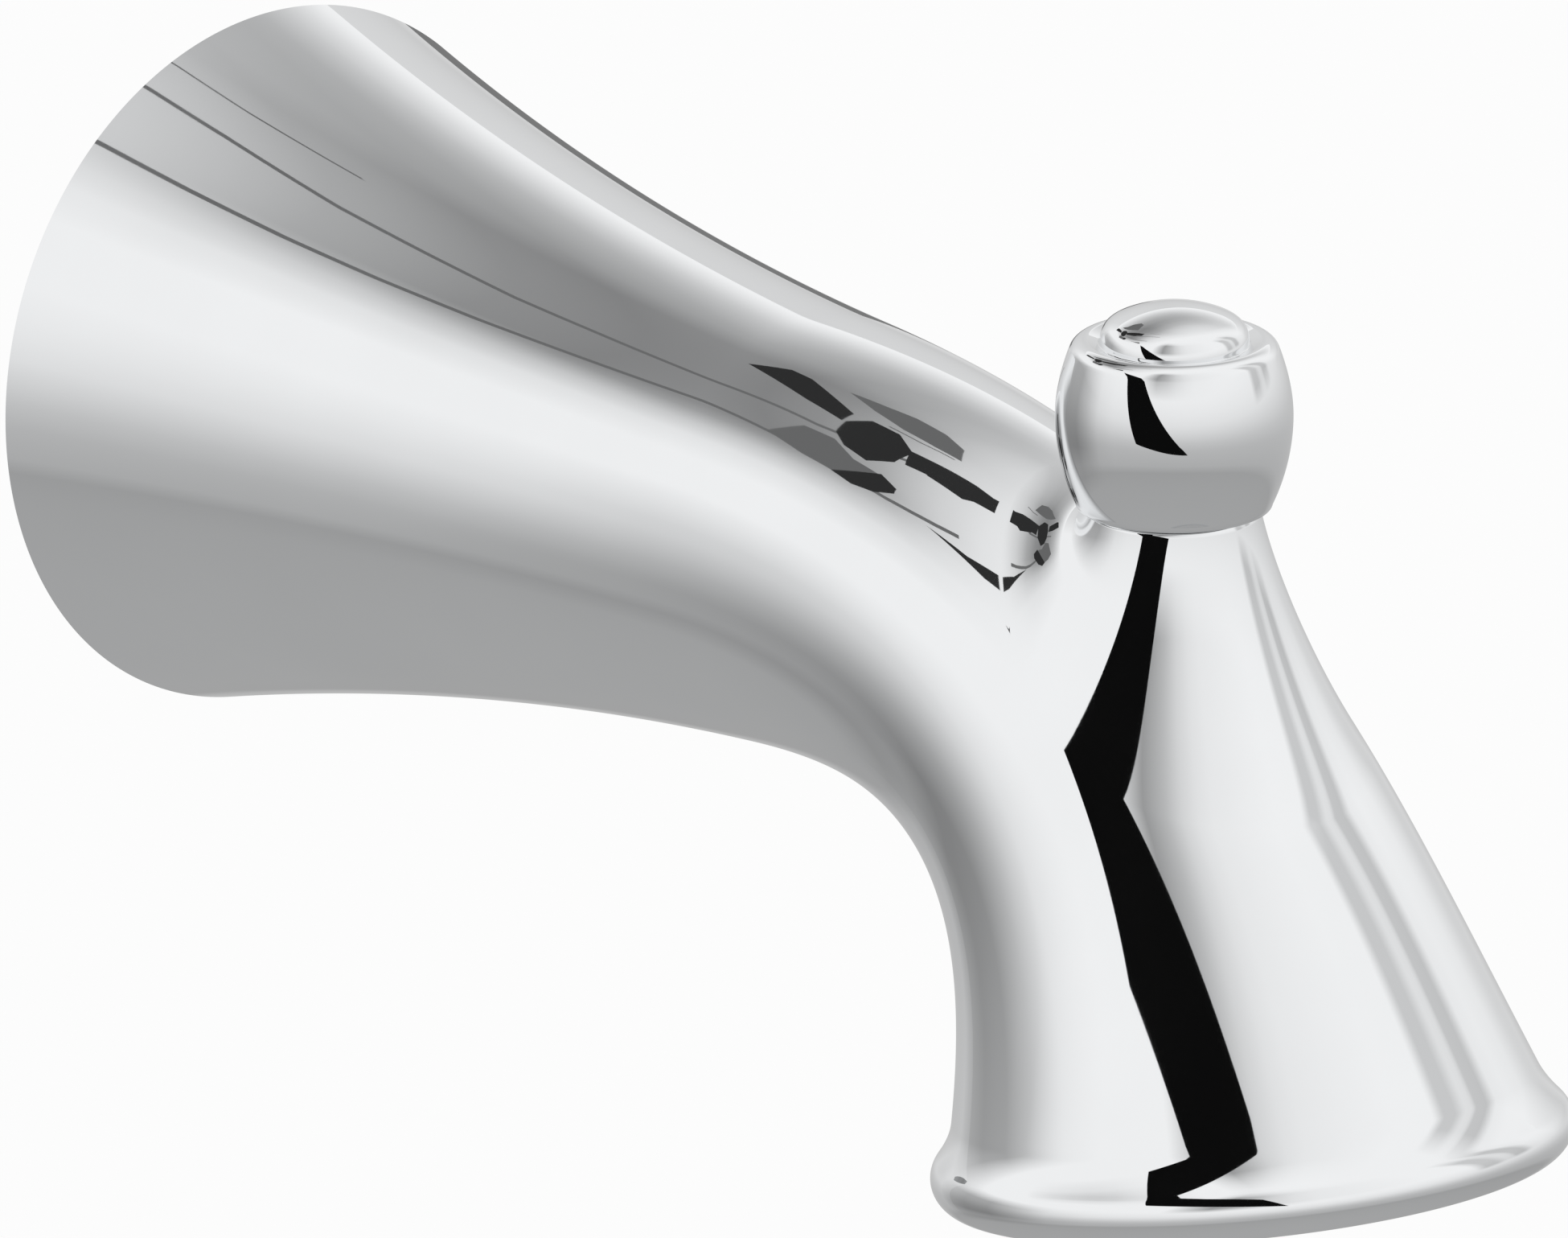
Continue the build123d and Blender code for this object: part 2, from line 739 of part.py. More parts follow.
pieces = {
    "spout_body": spout_body(),
    "diverter_knob": diverter_knob(),
    "lift_rod": lift_rod(),
    "stem_bushing": stem_bushing(),
    "stem_o_ring": stem_o_ring(),
    "diverter_gate": diverter_gate(),
    "gate_seal": gate_seal(),
    "rod_collar": rod_collar(),
    "rod_nut": rod_nut(),
    "diverter_housing": diverter_housing(),
    "gate_guide": gate_guide(),
    "housing_o_ring": housing_o_ring(),
    "housing_screws": housing_screws(),
    "inlet_tube": inlet_tube(),
    "tube_o_ring": tube_o_ring(),
    "inlet_collar": inlet_collar(),
    "inlet_o_ring_rear": pipe_ring(inlet_ring_section, pipe_radius, inlet_ring_rear),
    "inlet_o_ring_front": pipe_ring(inlet_ring_section, pipe_radius, inlet_ring_front),
    "set_screw": set_screw(),
    "inlet_bracket": inlet_bracket(),
    "bracket_screws": bracket_screws(),
    "wall_gasket": wall_gasket(),
}
for name, piece in pieces.items():
    export_step(piece, f"parts/{name}.step")
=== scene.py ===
import bpy
import json
import math
import numpy as np
from mathutils import Euler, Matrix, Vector, geometry


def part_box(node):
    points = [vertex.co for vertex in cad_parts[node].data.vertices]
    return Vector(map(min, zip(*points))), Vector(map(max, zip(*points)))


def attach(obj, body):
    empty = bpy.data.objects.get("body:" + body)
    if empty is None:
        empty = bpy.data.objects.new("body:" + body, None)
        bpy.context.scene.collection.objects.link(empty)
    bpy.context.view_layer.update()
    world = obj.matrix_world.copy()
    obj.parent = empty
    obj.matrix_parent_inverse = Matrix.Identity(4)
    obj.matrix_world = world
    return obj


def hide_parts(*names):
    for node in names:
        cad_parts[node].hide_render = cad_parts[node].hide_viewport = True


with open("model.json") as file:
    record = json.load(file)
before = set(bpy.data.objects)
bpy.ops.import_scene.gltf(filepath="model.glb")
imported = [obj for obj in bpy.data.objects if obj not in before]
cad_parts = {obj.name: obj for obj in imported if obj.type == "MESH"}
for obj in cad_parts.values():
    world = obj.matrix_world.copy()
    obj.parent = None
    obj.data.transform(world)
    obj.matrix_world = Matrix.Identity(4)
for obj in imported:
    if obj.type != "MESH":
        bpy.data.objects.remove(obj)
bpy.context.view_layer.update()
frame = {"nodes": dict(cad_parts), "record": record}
nodes = frame["nodes"]
scene = bpy.context.scene
mm = 0.001
sharpAngle = math.radians(35.0)
print("stage: frame loaded")


# Node helpers


def addNode(tree, kind, inputs=None, **settings):
    node = tree.nodes.new(kind)
    for key, value in settings.items():
        setattr(node, key, value)
    for key, value in (inputs or {}).items():
        node.inputs[key].default_value = value
    return node


def wire(tree, *pairs):
    for source, target in pairs:
        tree.links.new(source, target)


def rampNode(tree, source, stops):
    node = addNode(tree, "ShaderNodeValToRGB")
    ramp = node.color_ramp
    while len(ramp.elements) < len(stops):
        ramp.elements.new(0.5)
    for element, (place, tone) in zip(ramp.elements, stops):
        element.position = place
        element.color = (*tone, 1.0) if isinstance(tone, tuple) else (tone, tone, tone, 1.0)
    wire(tree, (source, node.inputs["Fac"]))
    return node.outputs["Color"]


def mixNode(tree, factor, one, other, blend="MIX"):
    node = addNode(tree, "ShaderNodeMix", data_type="RGBA", blend_type=blend)
    wire(tree, (factor, node.inputs["Factor"]), (one, node.inputs["A"]))
    if isinstance(other, tuple):
        node.inputs["B"].default_value = (*other, 1.0)
    else:
        wire(tree, (other, node.inputs["B"]))
    return node.outputs["Result"]


def mathNode(tree, operation, *values):
    node = addNode(tree, "ShaderNodeMath", operation=operation)
    for socket, value in zip(node.inputs, values):
        if isinstance(value, (int, float)):
            socket.default_value = value
        else:
            wire(tree, (value, socket))
    return node.outputs[0]


def noiseNode(tree, scale, detail, stretch=(1.0, 1.0, 1.0)):
    coords = addNode(tree, "ShaderNodeTexCoord")
    mapping = addNode(tree, "ShaderNodeMapping", {"Scale": stretch})
    noise = addNode(tree, "ShaderNodeTexNoise", {"Scale": scale, "Detail": detail})
    wire(tree, (coords.outputs["Object"], mapping.inputs["Vector"]),
         (mapping.outputs["Vector"], noise.inputs["Vector"]))
    return noise.outputs["Fac"]


def addBump(tree, shader, height, strength, distance):
    bump = addNode(tree, "ShaderNodeBump", {"Strength": strength, "Distance": distance})
    wire(tree, (height, bump.inputs["Height"]), (bump.outputs["Normal"], shader.inputs["Normal"]))


# Materials


chrome = {
    "tone": (0.86, 0.87, 0.88), "dim": 0.975, "smooth": 0.015, "hazy": 0.045, "hazeScale": 45.0,
    "rawTone": (0.50, 0.50, 0.51), "rawRough": 0.46, "grainScale": 900.0, "grain": 0.012, "grainDepth": 0.00002,
}
# Name, dark tone, light tone, roughness, grain scale, grain stretch, grain strength
metals = {
    "steel": ("zincedSteel", (0.46, 0.46, 0.47), (0.62, 0.62, 0.62), 0.28, 500.0, (1, 1, 6), 0.15),
    "brass": ("turnedBrass", (0.62, 0.45, 0.20), (0.75, 0.57, 0.28), 0.24, 300.0, (1, 9, 1), 0.2),
}
# Name, dark tone, light tone, roughness, grain scale, grain strength
softs = {
    "black_rubber": ("blackRubber", (0.016, 0.016, 0.017), (0.03, 0.03, 0.031), 0.62, 1400.0, 0.3),
    "grey_rubber": ("greyRubber", (0.26, 0.26, 0.265), (0.34, 0.34, 0.345), 0.7, 1200.0, 0.35),
    "white_plastic": ("whitePlastic", (0.76, 0.76, 0.74), (0.84, 0.84, 0.82), 0.42, 1600.0, 0.15),
    "grey_plastic": ("greyPlastic", (0.34, 0.35, 0.37), (0.42, 0.43, 0.45), 0.46, 1500.0, 0.2),
}
grainDepth = 0.00005
cloudScale = 60.0


def newMaterial(name):
    mat = bpy.data.materials.new(name)
    mat.use_nodes = True
    tree = mat.node_tree
    return mat, tree, tree.nodes["Principled BSDF"]


def chromeMaterial():
    mat, tree, shader = newMaterial("polishedChrome")
    shader.inputs["Metallic"].default_value = 1.0
    haze = noiseNode(tree, chrome["hazeScale"], 4.0)
    rough = rampNode(tree, haze, [(0.42, chrome["smooth"]), (0.78, chrome["hazy"])])
    dim = tuple(chrome["dim"] * v for v in chrome["tone"])
    tone = rampNode(tree, haze, [(0.3, dim), (0.7, chrome["tone"])])
    # Unpolished inside of the casting
    raw = addNode(tree, "ShaderNodeAttribute", attribute_name="rawCast").outputs["Fac"]
    rough = mixNode(tree, raw, rough, (chrome["rawRough"],) * 3)
    tone = mixNode(tree, raw, tone, chrome["rawTone"])
    wire(tree, (rough, shader.inputs["Roughness"]), (tone, shader.inputs["Base Color"]))
    grain = noiseNode(tree, chrome["grainScale"], 2.0)
    addBump(tree, shader, grain, chrome["grain"], chrome["grainDepth"])
    return mat


def metalMaterial(name, dark, light, rough, grainScale, stretch, grain):
    mat, tree, shader = newMaterial(name)
    shader.inputs["Metallic"].default_value = 1.0
    lines = noiseNode(tree, grainScale, 4.0, stretch)
    tone = rampNode(tree, lines, [(0.3, dark), (0.7, light)])
    gloss = rampNode(tree, lines, [(0.3, rough * 0.75), (0.75, rough * 1.3)])
    wire(tree, (tone, shader.inputs["Base Color"]), (gloss, shader.inputs["Roughness"]))
    addBump(tree, shader, lines, grain, grainDepth)
    return mat


def softMaterial(name, dark, light, rough, grainScale, grain):
    mat, tree, shader = newMaterial(name)
    cloud = noiseNode(tree, cloudScale, 3.0)
    fine = noiseNode(tree, grainScale, 2.0)
    tone = rampNode(tree, cloud, [(0.3, dark), (0.7, light)])
    gloss = rampNode(tree, fine, [(0.3, rough - 0.06), (0.7, rough + 0.06)])
    wire(tree, (tone, shader.inputs["Base Color"]), (gloss, shader.inputs["Roughness"]))
    addBump(tree, shader, fine, grain, grainDepth)
    return mat


finishes = {"chrome_plate": chromeMaterial()}
finishes.update({slot: metalMaterial(*values) for slot, values in metals.items()})
finishes.update({slot: softMaterial(*values) for slot, values in softs.items()})
slots = {entry["node"]: entry["material_slot"] for entry in frame["record"]["subparts"]}
for name, node in nodes.items():
    node.data.materials.clear()
    node.data.materials.append(finishes[slots[name]])
print("stage: materials set")


# Casting: round sections between two guide curves, in millimetres


casting = {
    "flangeRadius": 35.0, "waistReach": 40.0, "waistRadius": 26.15, "throatReach": 79.3, "throatRadius": 21.5,
    "crownHandle": 54.5, "crownPull": (149.8, -5.6), "elbowHandle": 26.3, "elbowPull": (113.2, -26.0),
    "outletReach": 142.1, "outletDrop": 42.7, "outletTilt": 81.3, "outletRadius": 28.6, "wall": 2.8,
    "columns": 288, "trumpetRows": 72, "elbowRows": 110, "innerRows": 60,
}
lip = {
    "flareHeight": 3.6, "flareAngle": 41.0, "edgeRadius": 3.0, "mouthWidening": 0.7, "mouthEdge": 0.7, "rows": 14,
}
# A window's scale is the millimetres of one unit of u and of one radian there
neck = {
    "reach": 131.75, "height": 14.3, "radius": 8.4, "draft": 11.0, "topEase": 0.25, "footEase": 0.31,
    "footLength": 19.1, "footWidth": 17.1, "footLead": 1.95, "bore": 5.05, "boreFoot": 4.0, "seat": 6.25,
    "seatDepth": 1.6, "edge": 0.25, "edgeShare": 0.29, "spokes": 160, "rings": 44,
    "windowScale": (95.0, 21.0), "windowClear": 0.4, "windowMargin": 4,
}
inside = {
    "seatReach": 76.0, "seatLength": 10.0, "seatBore": 14.5, "seatSides": 96,
    "bosses": 3, "bossCircle": 23.31, "bossRadius": 4.0, "bossStart": 6.0, "bossLength": 24.0, "bossSides": 40,
    "rib": 2.4, "keyReach": 16.0, "keyRadius": 3.6, "keySides": 48,
    "keyScale": (79.0, 31.0), "keyScaleInner": (79.0, 28.0), "keyClear": 0.2, "keyMargin": 2,
}


def unit(vectors):
    return vectors / np.linalg.norm(vectors, axis=-1)[..., None]


def ringTurns(count):
    return np.arange(count) * 2 * math.pi / count


def trumpetRadius(reach):
    rise = (casting["waistRadius"] - casting["flangeRadius"]) / casting["waistReach"]
    bend = (casting["throatRadius"] - casting["flangeRadius"]) / casting["throatReach"] - rise
    bend = bend / (casting["throatReach"] - casting["waistReach"])
    return casting["flangeRadius"] + reach * (rise + bend * (reach - casting["waistReach"]))


tilt = math.radians(casting["outletTilt"])
outletUp = np.array((math.sin(tilt), math.cos(tilt)))
outletRun = np.array((math.cos(tilt), -math.sin(tilt)))
outletCentre = np.array((casting["outletReach"], -casting["outletDrop"]))
slopeStep = 0.5
throatSlope = (casting["throatRadius"] - trumpetRadius(casting["throatReach"] - slopeStep)) / slopeStep


def guide(hand, handle, pull):
    start = np.array((casting["throatReach"], hand * casting["throatRadius"]))
    lead = start + handle * np.array((1.0, hand * throatSlope))
    return np.array((start, lead, pull, outletCentre + hand * casting["outletRadius"] * outletUp))


crownGuide = guide(1, casting["crownHandle"], casting["crownPull"])
elbowGuide = guide(-1, casting["elbowHandle"], casting["elbowPull"])


def cubic(points, t):
    a, b, c, d = points
    t = np.asarray(t, float)[..., None]
    return a * (1 - t) ** 3 + 3 * b * (1 - t) ** 2 * t + 3 * c * (1 - t) * t**2 + d * t**3


def skinFrame(u):
    # Centre, up direction and radius of the section at u: 0 wall, 1 throat, 2 outlet
    u = np.asarray(u, float)
    reach = u * casting["throatReach"]
    radius = trumpetRadius(reach)
    onElbow = (u > 1)[..., None]
    top = np.where(onElbow, cubic(crownGuide, u - 1), np.stack((reach, radius), -1))
    bottom = np.where(onElbow, cubic(elbowGuide, u - 1), np.stack((reach, -radius), -1))
    half = (top - bottom) / 2
    return (top + bottom) / 2, unit(half), np.linalg.norm(half, axis=-1)


def skinPoint(u, angle, inset=0.0):
    centre, up, size = skinFrame(u)
    angle = np.asarray(angle, float)
    size = size - inset
    flat = centre + up * (size * np.sin(angle))[..., None]
    return np.stack((size * np.cos(angle), -flat[..., 0], flat[..., 1]), -1)


def skinNormal(u, angle):
    step = 1e-4
    along = skinPoint(u + step, angle) - skinPoint(u - step, angle)
    around = skinPoint(u, angle + step) - skinPoint(u, angle - step)
    return unit(np.cross(around, along))


def roofShare(side, reach):
    # Elbow parameter, angle and height of the upper skin over a point of the plan
    low = np.zeros_like(side)
    high = np.ones_like(side)
    for _ in range(44):
        t = (low + high) / 2
        centre, up, size = skinFrame(1 + t)
        share = np.sqrt(np.maximum(size**2 - side**2, 0.0))
        nearer = centre[..., 0] + up[..., 0] * share < reach
        low = np.where(nearer, t, low)
        high = np.where(nearer, high, t)
    return t, np.arccos(np.clip(side / size, -1, 1)), centre[..., 1] + up[..., 1] * share


def footRadius(angle):
    c, s = np.cos(angle), np.sin(angle)
    square = (c / neck["footWidth"]) ** 2 + (s / neck["footLength"]) ** 2
    cross = neck["footLead"] * s / neck["footLength"] ** 2
    rest = 1 - (neck["footLead"] / neck["footLength"]) ** 2
    return (cross + np.sqrt(cross**2 + square * rest)) / square


def roofAt(radius, angle):
    return roofShare(radius * np.cos(angle), neck["reach"] + radius * np.sin(angle))


def neckControls(angle):
    # Four control points of the flare in each half-plane through the knob axis
    step = 0.3
    radius = footRadius(angle)
    slope = (roofAt(radius + step, angle)[2] - roofAt(radius - step, angle)[2]) / (2 * step)
    foot = np.stack((radius, roofAt(radius, angle)[2]), -1)
    top = np.broadcast_to(np.array((neck["radius"], neck["height"])), foot.shape)
    chord = np.linalg.norm(foot - top, axis=-1)[..., None]
    draft = math.radians(neck["draft"])
    leave = np.array((math.sin(draft), -math.cos(draft)))
    arrive = unit(np.stack((np.ones_like(slope), slope), -1))
    return top, top + leave * neck["topEase"] * chord, foot - arrive * neck["footEase"] * chord, foot


def aroundKnob(radius, height, angle):
    return np.stack((radius * np.cos(angle), -(neck["reach"] + radius * np.sin(angle)), height), -1)


def neckPoint(angle, share):
    flat = cubic(neckControls(angle), share)
    return aroundKnob(flat[..., 0], flat[..., 1], angle)


def neckNormal(angle, share):
    step = 1e-3
    down = neckPoint(angle, share + step) - neckPoint(angle, share - step)
    around = neckPoint(angle + step, share) - neckPoint(angle - step, share)
    return unit(np.cross(around, down))


class MeshMaker:
    def __init__(self):
        self.points = []
        self.normals = []
        self.faces = []
        self.raw = []

    def add(self, points, normals=None, raw=0.0):
        first = len(self.points)
        self.points.extend(points)
        self.raw.extend([raw] * len(points))
        self.normals.extend(normals if normals is not None else np.zeros((len(points), 3)))
        return np.arange(first, first + len(points))

    def strip(self, one, other):
        for j in range(len(one)):
            k = (j + 1) % len(one)
            self.faces.append((one[j], one[k], other[k], other[j]))

    def follow(self, ring, loops, flip=False):
        for points in loops:
            following = self.add(points)
            self.strip(*((following, ring) if flip else (ring, following)))
            ring = following
        return ring

    def build(self, name):
        mesh = bpy.data.meshes.new(name)
        points = [tuple(mm * p) for p in np.array(self.points)]
        mesh.from_pydata(points, [], [tuple(int(i) for i in face) for face in self.faces])
        mesh.attributes.new("rawCast", "FLOAT", "POINT").data.foreach_set("value", self.raw)
        mesh.validate()
        mesh.update()
        for polygon in mesh.polygons:
            polygon.use_smooth = True
        mesh.set_sharp_from_angle(angle=sharpAngle)
        given = np.array(self.normals)
        if np.abs(given).max() > 0:
            corners = np.empty(3 * len(mesh.loops))
            mesh.corner_normals.foreach_get("vector", corners)
            owner = np.empty(len(mesh.loops), int)
            mesh.loops.foreach_get("vertex_index", owner)
            known = np.abs(given[owner]).max(1) > 0
            corners = np.where(known[:, None], given[owner], corners.reshape(-1, 3))
            mesh.normals_split_custom_set([tuple(n) for n in corners])
        piece = bpy.data.objects.new(name, mesh)
        scene.collection.objects.link(piece)
        return piece


def insideLoop(points, loop):
    x, y = points[:, 0], points[:, 1]
    result = np.zeros(len(points), bool)
    for (x0, y0), (x1, y1) in zip(loop, np.roll(loop, -1, 0)):
        crosses = (y0 > y) != (y1 > y)
        with np.errstate(divide="ignore", invalid="ignore"):
            result ^= crosses & (x < (x1 - x0) * (y - y0) / (y1 - y0) + x0)
    return result


def skinGrid(maker, rows, turns, inset=0.0, raw=0.0):
    index = [maker.add(skinPoint(np.full_like(turns, u), turns, inset), raw=raw) for u in rows]
    return {"u": rows, "turn": turns, "index": index}


def windowSpan(skin, hole, before, after):
    # First and last row and column of the grid round a hole
    spans = []
    for values, places in zip((skin["u"], skin["turn"]), hole[0].T):
        first, last = np.searchsorted(values, (places.min(), places.max()))
        spans.append((max(int(first) - before, 0), int(last) + after))
    return spans


def windowFill(maker, skin, span, hole, scale, clear, flip=False):
    # Fills a window of the skin's grid with triangles around a hole
    (r0, r1), (c0, c1) = span
    scale = np.array(scale)
    loop = hole[0] * scale
    turns = skin["turn"][c0:c1 + 1]
    flat, index = [], []
    for i in range(r0, r1 + 1):
        spots = np.stack((np.full_like(turns, skin["u"][i]), turns), -1) * scale
        gap = np.linalg.norm(spots[:, None] - loop[None], axis=2).min(1)
        keep = ~insideLoop(spots, loop) & (gap >= clear)
        keep[[0, -1]] = True
        if i in (r0, r1):
            keep[:] = True
        flat.extend(spots[keep])
        index.extend(skin["index"][i][c0:c1 + 1][keep])
    first = len(flat)
    flat.extend(loop)
    index.extend(hole[1])
    edges = [(first + k, first + (k + 1) % len(loop)) for k in range(len(loop))]
    result = geometry.delaunay_2d_cdt([Vector(p) for p in flat], edges, [], 0, 1e-7, True)
    spots = np.array([tuple(v) for v in result[0]])
    source = [index[ids[0]] for ids in result[3]]
    triangles = np.array(result[2])
    outside = ~insideLoop(spots[triangles].mean(1), loop)
    for triangle in triangles[outside]:
        a, b, c = (source[k] for k in triangle)
        maker.faces.append((a, c, b) if flip else (a, b, c))


def plainFaces(maker, skin, spans, inner=False):
    grid = skin["index"]
    for i in range(len(grid) - 1):
        for j in range(len(grid[i])):
            if any(r0 <= i < r1 and c0 <= j < c1 for (r0, r1), (c0, c1) in spans):
                continue
            x, y, z = maker.points[grid[i][j]]
            if inner and z > 0 and math.hypot(x, y + neck["reach"]) < neck["bore"]:  # Way of the rod
                continue
            k = (j + 1) % len(grid[i])
            quad = (grid[i][j], grid[i][k], grid[i + 1][k], grid[i + 1][j])
            maker.faces.append(quad[::-1] if inner else quad)


def neckFlare(maker, skin):
    spokes = ringTurns(neck["spokes"])
    share, turn, _ = roofAt(footRadius(spokes), spokes)
    foot = maker.add(neckPoint(spokes, np.ones_like(spokes)), skinNormal(1 + share, turn))
    hole = np.stack((1 + share, turn), -1), foot
    span = windowSpan(skin, hole, neck["windowMargin"], neck["windowMargin"])
    (r0, r1), (c0, c1) = span
    for i in range(r0, r1 + 1):
        for j in range(c0, c1 + 1):
            maker.normals[skin["index"][i][j]] = skinNormal(skin["u"][i], skin["turn"][j])
    windowFill(maker, skin, span, hole, neck["windowScale"], neck["windowClear"], True)
    previous = foot
    for k in range(1, neck["rings"]):
        share = np.full_like(spokes, 1 - k / neck["rings"])
        ring = maker.add(neckPoint(spokes, share), neckNormal(spokes, share))
        maker.strip(ring, previous)
        previous = ring
    # Rim of the neck and the seat of the bushing
    radius, top, edge = neck["radius"], neck["height"], neck["edge"]
    corner = neck["edgeShare"] * edge
    seatFoot = top - neck["seatDepth"]
    rim = [
        (radius, top - edge), (radius - corner, top - corner), (radius - edge, top), (neck["seat"], top),
        (neck["seat"], seatFoot), (neck["bore"], seatFoot), (neck["bore"], neck["boreFoot"]),
    ]
    maker.follow(previous, [aroundKnob(r, np.full_like(spokes, h), spokes) for r, h in rim], True)
    return span


def keyHole(maker, skin):
    # Hole for the key under the flange
    turns = ringTurns(inside["keySides"])
    reach = inside["keyReach"] + inside["keyRadius"] * np.sin(turns)
    side = inside["keyRadius"] * np.cos(turns)
    holes = []
    for inset in (0.0, casting["wall"]):
        angle = 2 * math.pi - np.arccos(side / (trumpetRadius(reach) - inset))
        uv = np.stack((reach / casting["throatReach"], angle), -1)
        holes.append((uv, maker.add(skinPoint(uv[:, 0], angle, inset))))
    outer, inner = holes
    span = windowSpan(skin, outer, inside["keyMargin"], inside["keyMargin"])
    windowFill(maker, skin, span, outer, inside["keyScale"], inside["keyClear"], True)
    maker.strip(outer[1], inner[1])
    return span, inner


def lipLoops(turns):
    # Flare, rolled edge and mouth
    def outletRing(depth, radius, shift):
        flat = outletCentre + outletRun * depth + outletUp * (shift + radius * np.sin(turns))[:, None]
        return np.stack((radius * np.cos(turns), -flat[:, 0], flat[:, 1]), -1)

    slopes = []
    for hand, curve in ((1, crownGuide), (-1, elbowGuide)):
        step = curve[3] - curve[2]
        slopes.append(hand * step.dot(outletUp) / step.dot(outletRun))
    roll = math.radians(lip["flareAngle"])
    edgeSlope = math.tan(roll)
    height, rows, edge = lip["flareHeight"], lip["rows"], lip["edgeRadius"]
    loops = []
    for depth in height * np.arange(1, rows + 1) / rows:
        upper, lower = (s * depth + (edgeSlope - s) * depth**2 / (2 * height) for s in slopes)
        loops.append(outletRing(depth, casting["outletRadius"] + (upper + lower) / 2, (upper - lower) / 2))
    spread = height * (edgeSlope + (slopes[0] + slopes[1]) / 2) / 2
    shift = height * (slopes[0] - slopes[1]) / 4
    belly = casting["outletRadius"] + spread - edge * math.cos(roll)
    level = height + edge * math.sin(roll)
    for k in range(1, 2 * rows + 1):
        turn = -roll + (math.pi / 2 + roll) * k / (2 * rows)
        loops.append(outletRing(level + edge * math.sin(turn), belly + edge * math.cos(turn), shift))
    mouth = casting["outletRadius"] - casting["wall"] + lip["mouthWidening"]
    for inset in (0.0, lip["mouthEdge"]):
        loops.append(outletRing(level + edge - inset, mouth - inset, shift))
    return loops


def hoop(reach, radius, turns):
    return np.stack((radius * np.cos(turns), np.full_like(turns, -reach), radius * np.sin(turns)), -1)


def seatRing(maker):
    # Seat of the housing in the throat
    turns = ringTurns(inside["seatSides"])
    start, end = inside["seatReach"], inside["seatReach"] + inside["seatLength"]
    bore, skinMiddle = inside["seatBore"], casting["wall"] / 2
    corners = [(start, trumpetRadius(start) - skinMiddle), (start, bore), (end, bore),
               (end, casting["throatRadius"] - skinMiddle)]
    rings = [maker.add(hoop(reach, radius, turns), raw=1.0) for reach, radius in corners]
    for one, other in zip(rings, rings[1:]):
        maker.strip(other, one)


def bodyPiece():
    maker = MeshMaker()
    turns = ringTurns(casting["columns"])
    trumpet = np.arange(casting["trumpetRows"]) / casting["trumpetRows"]
    elbow = 1 + np.arange(casting["elbowRows"] + 1) / casting["elbowRows"]
    outer = skinGrid(maker, np.concatenate((trumpet, elbow)), turns)
    neckSpan = neckFlare(maker, outer)
    keySpan, keyInner = keyHole(maker, outer)
    plainFaces(maker, outer, [neckSpan, keySpan])
    mouth = maker.follow(outer["index"][-1], lipLoops(turns))
    # Inside of the casting back to the wall
    inner = skinGrid(maker, np.linspace(0.0, 2.0, casting["innerRows"] + 1), turns, casting["wall"], 1.0)
    maker.strip(mouth, inner["index"][-1])
    innerSpan = windowSpan(inner, keyInner, inside["keyMargin"], inside["keyMargin"] - 1)
    windowFill(maker, inner, innerSpan, keyInner, inside["keyScaleInner"], inside["keyClear"])
    plainFaces(maker, inner, [innerSpan], True)
    maker.strip(inner["index"][0], outer["index"][0])
    seatRing(maker)
    piece = maker.build("spoutBodySkin")
    piece.data.materials.append(finishes["chrome_plate"])
    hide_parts("spout_body")
    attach(piece, "spout")


bodyPiece()


# Geometry Nodes groups: repeat round an axis, lathe, thread


def newGroup(name, sockets):
    group = bpy.data.node_groups.new(name, "GeometryNodeTree")
    group.interface.new_socket("Geometry", in_out="INPUT", socket_type="NodeSocketGeometry")
    for label, kind in sockets:
        group.interface.new_socket(label, in_out="INPUT", socket_type="NodeSocket" + kind)
    group.interface.new_socket("Geometry", in_out="OUTPUT", socket_type="NodeSocketGeometry")
    return group, addNode(group, "NodeGroupInput").outputs, addNode(group, "NodeGroupOutput").inputs


def repeatGroup():
    sockets = [("Count", "Int"), ("Circle", "Float"), ("Turn", "Rotation"), ("Material", "Material")]
    group, given, result = newGroup("repeatAround", sockets)
    ring = addNode(group, "GeometryNodeMeshCircle")
    stand = addNode(group, "GeometryNodeTransform")
    place = addNode(group, "GeometryNodeInputPosition")
    aim = addNode(group, "FunctionNodeAlignRotationToVector", axis="X", pivot_axis="Y")
    copies = addNode(group, "GeometryNodeInstanceOnPoints")
    real = addNode(group, "GeometryNodeRealizeInstances")
    paint = addNode(group, "GeometryNodeSetMaterial")
    wire(group, (given["Count"], ring.inputs["Vertices"]), (given["Circle"], ring.inputs["Radius"]),
         (ring.outputs["Mesh"], stand.inputs["Geometry"]), (given["Turn"], stand.inputs["Rotation"]),
         (stand.outputs["Geometry"], copies.inputs["Points"]), (given["Geometry"], copies.inputs["Instance"]),
         (place.outputs["Position"], aim.inputs["Vector"]), (aim.outputs["Rotation"], copies.inputs["Rotation"]),
         (copies.outputs["Instances"], real.inputs["Geometry"]), (real.outputs["Geometry"], paint.inputs["Geometry"]),
         (given["Material"], paint.inputs["Material"]), (paint.outputs["Geometry"], result["Geometry"]))
    return group


